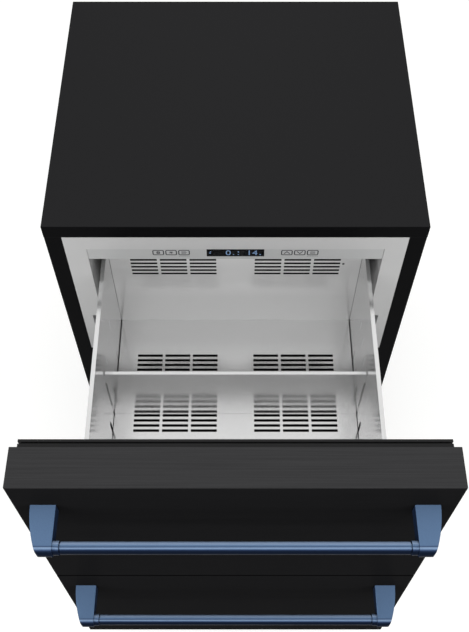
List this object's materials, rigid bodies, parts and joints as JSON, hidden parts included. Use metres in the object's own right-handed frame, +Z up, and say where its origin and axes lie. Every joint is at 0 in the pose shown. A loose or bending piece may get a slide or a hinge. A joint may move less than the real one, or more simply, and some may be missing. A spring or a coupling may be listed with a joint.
{
  "type": "freezer drawer",
  "caption": "Under-counter freezer with two pull-out drawers, shown open: black cabinet and fronts, steel boxes on telescopic rails and round bar handles in satin blue.",
  "frame": {"origin": "on the floor, under the middle of the whole object with both drawers pulled out", "axes": "+X to the right side seen from the front, +Y to the back, +Z up; the drawers open towards -Y"},
  "size_m": [0.597, 1.0062, 0.876],
  "materials": {
    "black_shell": "satin black paint",
    "black_door": "smooth black paint",
    "blue_handle": "satin metallic blue",
    "black_gasket": "soft matt black",
    "white_liner": "smooth light grey",
    "grey_strip": "smooth pale grey",
    "dark_window": "gloss black",
    "pads": "printed pale grey",
    "lens": "frosted clear",
    "light_steel": "satin",
    "rail_steel": "zinc bright",
    "insulation": "rigid foam",
    "galvanised": "galvanised",
    "black_paint": "matt black paint",
    "black_plastic": "matt moulded",
    "grey_rubber": "matt",
    "coil_metal": "bare",
    "copper": "drawn copper tube",
    "pale_plastic": "moulded"
  },
  "bodies": {
    "cabinet": {"cabinet_top": "black_shell", "side_panels": "black_shell", "cross_rails": "black_shell", "upper_liner": "white_liner", "lower_liner": "white_liner", "cabinet_foam": "insulation", "back_panel": "galvanised", "compressor_deck": "galvanised", "base_pan": "galvanised", "toe_grille": "black_shell", "machine_cover": "galvanised", "compressor": "black_paint", "compressor_mounts": "grey_rubber", "start_relay": "black_plastic", "condenser": "coil_metal", "condenser_fan_motor": "galvanised", "fan_shroud": "galvanised", "defrost_drain": "pale_plastic", "refrigerant_lines": "copper", "evaporator": "coil_metal", "evaporator_grille": "light_steel", "evaporator_fan_motor": "pale_plastic", "air_duct": "pale_plastic", "cord_gland": "black_plastic", "control_housing": "grey_strip", "display_window": "dark_window", "touch_pads": "pads", "lamp_lens": "lens", "cabinet_rails": "rail_steel", "rail_brackets": "rail_steel"},
    "upper_drawer": {"upper_door_skin": "black_door", "upper_door_foam": "insulation", "upper_door_liner": "white_liner", "upper_door_gasket": "black_gasket", "upper_handle_posts": "blue_handle", "upper_handle_bar": "blue_handle", "upper_drawer_walls": "light_steel", "upper_drawer_back": "light_steel", "upper_drawer_floor": "light_steel", "upper_drawer_rails": "rail_steel", "drawer_divider": "light_steel"},
    "lower_drawer": {"lower_door_skin": "black_door", "lower_door_foam": "insulation", "lower_door_liner": "white_liner", "lower_door_gasket": "black_gasket", "lower_handle_posts": "blue_handle", "lower_handle_bar": "blue_handle", "lower_drawer_walls": "light_steel", "lower_drawer_back": "light_steel", "lower_drawer_floor": "light_steel", "lower_drawer_rails": "rail_steel"},
    "upper_middle": {"upper_middle_rails": "rail_steel"},
    "lower_middle": {"lower_middle_rails": "rail_steel"},
    "evaporator_wheel": {"evaporator_fan": "pale_plastic"},
    "condenser_wheel": {"condenser_fan": "black_plastic"},
    "front_left_foot": {"front_left_foot": "black_plastic"},
    "front_right_foot": {"front_right_foot": "black_plastic"},
    "rear_left_foot": {"rear_left_foot": "black_plastic"},
    "rear_right_foot": {"rear_right_foot": "black_plastic"}
  },
  "joints": [
    {"name": "upper_slide", "type": "slide", "parent": "cabinet", "child": "upper_drawer", "axis": [0, -1, 0], "range_m": [-0.3467, 0]},
    {"name": "upper_middle_slide", "type": "slide", "parent": "cabinet", "child": "upper_middle", "axis": [0, -1, 0], "range_m": [-0.17335, 0]},
    {"name": "lower_slide", "type": "slide", "parent": "cabinet", "child": "lower_drawer", "axis": [0, -1, 0], "range_m": [-0.3467, 0]},
    {"name": "lower_middle_slide", "type": "slide", "parent": "cabinet", "child": "lower_middle", "axis": [0, -1, 0], "range_m": [-0.17335, 0]},
    {"name": "evaporator_fan_spin", "type": "hinge", "parent": "cabinet", "child": "evaporator_wheel", "pos_m": [0, 0.41905, 0.7045], "axis": [0, 1, 0], "continuous": true},
    {"name": "condenser_fan_spin", "type": "hinge", "parent": "cabinet", "child": "condenser_wheel", "pos_m": [-0.05, 0.39655, 0.109], "axis": [1, 0, 0], "continuous": true},
    {"name": "front_left_foot_screw", "type": "slide", "parent": "cabinet", "child": "front_left_foot", "axis": [0, 0, -1], "range_m": [0, 0.02]},
    {"name": "front_right_foot_screw", "type": "slide", "parent": "cabinet", "child": "front_right_foot", "axis": [0, 0, -1], "range_m": [0, 0.02]},
    {"name": "rear_left_foot_screw", "type": "slide", "parent": "cabinet", "child": "rear_left_foot", "axis": [0, 0, -1], "range_m": [0, 0.02]},
    {"name": "rear_right_foot_screw", "type": "slide", "parent": "cabinet", "child": "rear_right_foot", "axis": [0, 0, -1], "range_m": [0, 0.02]}
  ],
  "couplings": [
    {"joint": "upper_middle_slide", "follows": "upper_slide", "ratio": 0.5},
    {"joint": "lower_middle_slide", "follows": "lower_slide", "ratio": 0.5}
  ]
}
